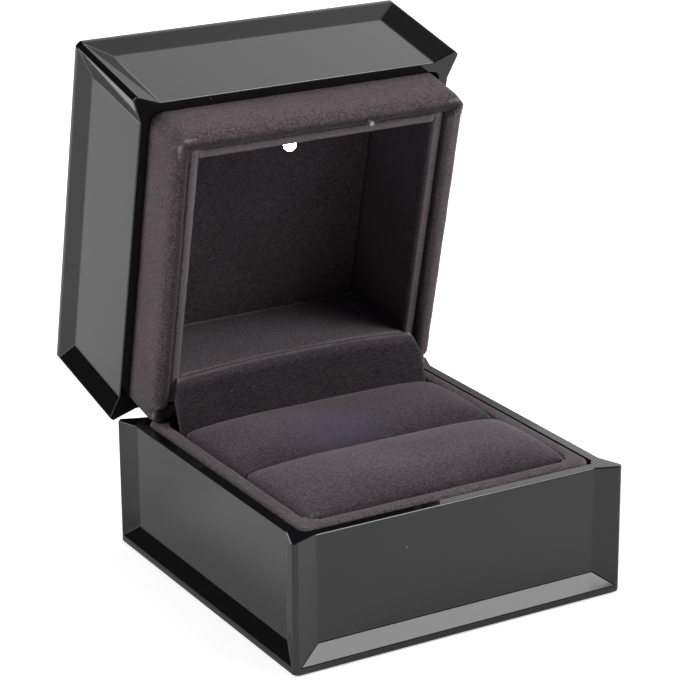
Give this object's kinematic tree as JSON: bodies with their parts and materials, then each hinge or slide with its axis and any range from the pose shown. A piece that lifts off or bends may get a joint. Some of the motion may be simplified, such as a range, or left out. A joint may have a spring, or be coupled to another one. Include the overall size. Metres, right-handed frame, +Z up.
{
  "type": "ring display box",
  "caption": "Hinged presentation box for a ring: glossy lacquered base and lid, suede ring rolls, padded suede collar and a small white light that comes on as the lid opens.",
  "frame": {"origin": "middle of the felt pad's underside, the face that the box rests on", "axes": "+Z up from the resting face; +Y from the front of the box towards its hinge; +X to the right seen from the front. The box is shown with its lid open at its stop."},
  "size_m": [0.075, 0.1046, 0.1048],
  "materials": {
    "lacquer": "black polished lacquer over a moulded shell, mirror smooth",
    "felt": "black felt, soft matte",
    "suede": "warm grey microfibre suede with a short nap",
    "foam": "dense dark foam",
    "card": "grey board, matte",
    "hinge_steel": "plated steel, satin",
    "spring_steel": "blued spring steel, satin",
    "light_plastic": "black moulded plastic, fine texture",
    "circuit_board": "green circuit board",
    "diode": "yellow phosphor chip",
    "lens": "clear dome lens, lit white",
    "cell_steel": "bright nickel plate",
    "contact_brass": "thin spring brass"
  },
  "bodies": {
    "base": {"base_shell": "lacquer", "base_felt_pad": "felt", "base_frame": "suede", "riser_foam": "foam", "roll_board": "card", "front_roll": "suede", "rear_roll": "suede", "hinge_base_leaf": "hinge_steel", "hinge_pin": "hinge_steel", "hinge_snap_spring": "spring_steel", "base_leaf_screws": "hinge_steel"},
    "lid": {"hinge_lid_leaf": "hinge_steel", "lid_leaf_screws": "hinge_steel", "lid_shell": "lacquer", "lid_collar": "suede", "collar_core": "card", "liner_left_card": "suede", "liner_right_card": "suede", "liner_front_card": "suede", "liner_rear_card": "suede", "liner_back_card": "suede", "floor_pad": "suede", "lid_spacer_foam": "foam", "light_housing": "light_plastic", "light_cover": "light_plastic", "light_board": "circuit_board", "light_diode": "diode", "light_lens": "lens", "button_cells": "cell_steel", "battery_contacts": "contact_brass", "cover_screws": "cell_steel", "switch_spring": "spring_steel"},
    "flap": {"hinge_flap": "suede"},
    "plunger": {"switch_plunger": "light_plastic"}
  },
  "joints": [
    {"name": "lid_hinge", "type": "hinge", "parent": "base", "child": "lid", "pos_m": [0, 0.0305, 0.0305], "axis": [1, 0, 0], "range_deg": [0, 77]},
    {"name": "flap_fold", "type": "hinge", "parent": "lid", "child": "flap", "pos_m": [0, 0.02782, 0.03635], "axis": [1, 0, 0], "range_deg": [-40.5, 0]},
    {"name": "plunger_slide", "type": "slide", "parent": "lid", "child": "plunger", "axis": [0, 0.9744, 0.225], "range_m": [0, 0.00121], "deforming": ["switch_spring"]}
  ],
  "couplings": [
    {"joint": "flap_fold", "follows": "lid_hinge", "ratio": -0.51948},
    {"joint": "plunger_slide", "follows": "lid_hinge", "m_per_rad": 0.00089292}
  ]
}
